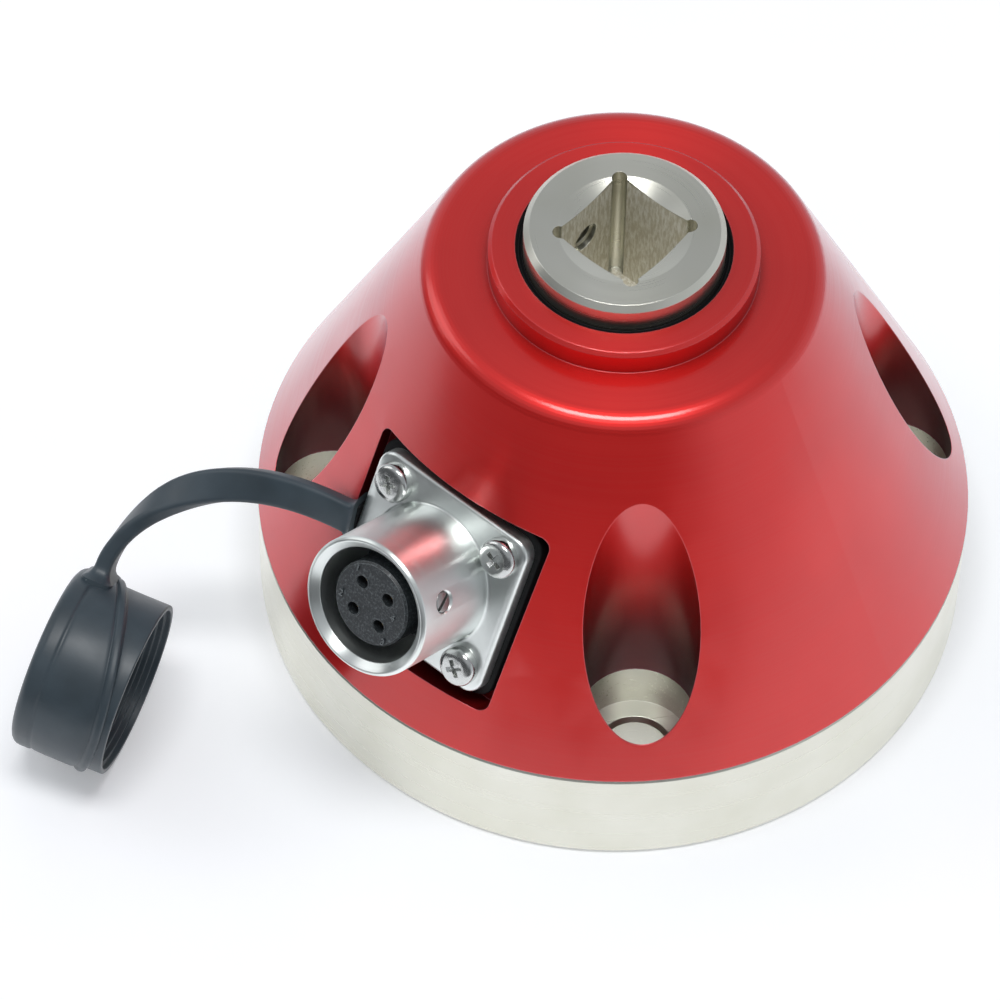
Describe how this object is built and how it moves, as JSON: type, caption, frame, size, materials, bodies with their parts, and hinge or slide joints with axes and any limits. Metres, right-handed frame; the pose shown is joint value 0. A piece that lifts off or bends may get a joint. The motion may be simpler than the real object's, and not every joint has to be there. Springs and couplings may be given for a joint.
{
  "type": "static torque sensor",
  "caption": "Flange-mounted static torque sensor: a steel body with a square drive socket under a red conical cover, with a side connector and a tethered rubber cap.",
  "frame": {"origin": "centre of the underside of the foot, on the torque axis", "axes": "+Z along the torque axis towards the square socket; the signal connector faces -Y, leaning up by 25 degrees; the bolt pockets lie at 45 degrees to X and Y"},
  "size_m": [0.096, 0.129, 0.0731],
  "materials": {
    "nickel_steel": "satin",
    "red_anodised": "satin",
    "black_rubber": "matt",
    "zinc_screws": "satin",
    "gauge_foil": "satin",
    "board_green": "satin",
    "brass_turned": "satin",
    "wire_red": "satin",
    "wire_black": "satin",
    "wire_green": "satin",
    "wire_white": "satin",
    "nickel_shell": "bright",
    "insulator_black": "matt",
    "contact_gold": "bright",
    "bright_screws": "bright",
    "cap_rubber": "matt"
  },
  "bodies": {
    "housing": {"sensing_body": "nickel_steel", "cover": "red_anodised", "shaft_seal": "black_rubber", "base_seal": "black_rubber", "cover_screws": "zinc_screws", "gauge_right": "gauge_foil", "gauge_rear": "gauge_foil", "gauge_left": "gauge_foil", "gauge_front": "gauge_foil", "terminal_board": "board_green", "board_standoffs": "brass_turned", "board_screws": "zinc_screws", "lead_red": "wire_red", "lead_black": "wire_black", "lead_green": "wire_green", "lead_white": "wire_white", "connector_shell": "nickel_shell", "connector_insert": "insulator_black", "contact_1": "contact_gold", "contact_2": "contact_gold", "contact_3": "contact_gold", "contact_4": "contact_gold", "insert_screw": "zinc_screws", "flange_screws": "bright_screws", "cap_gasket": "black_rubber"},
    "strap": {"cap_strap": "cap_rubber"},
    "cap": {"dust_cap": "cap_rubber"}
  },
  "joints": [
    {"name": "strap_swing", "type": "hinge", "parent": "housing", "child": "strap", "pos_m": [-0.01545, -0.03806, 0.03672], "axis": [0, 0.4226, 0.9063], "range_deg": [-4, 45], "stiffness_Nm_per_rad": 0.03},
    {"name": "cap_swing", "type": "hinge", "parent": "strap", "child": "cap", "pos_m": [-0.03897, -0.05782, 0.02422], "axis": [-0.3343, 0.6308, -0.7002], "range_deg": [-25, 40], "stiffness_Nm_per_rad": 0.03}
  ]
}
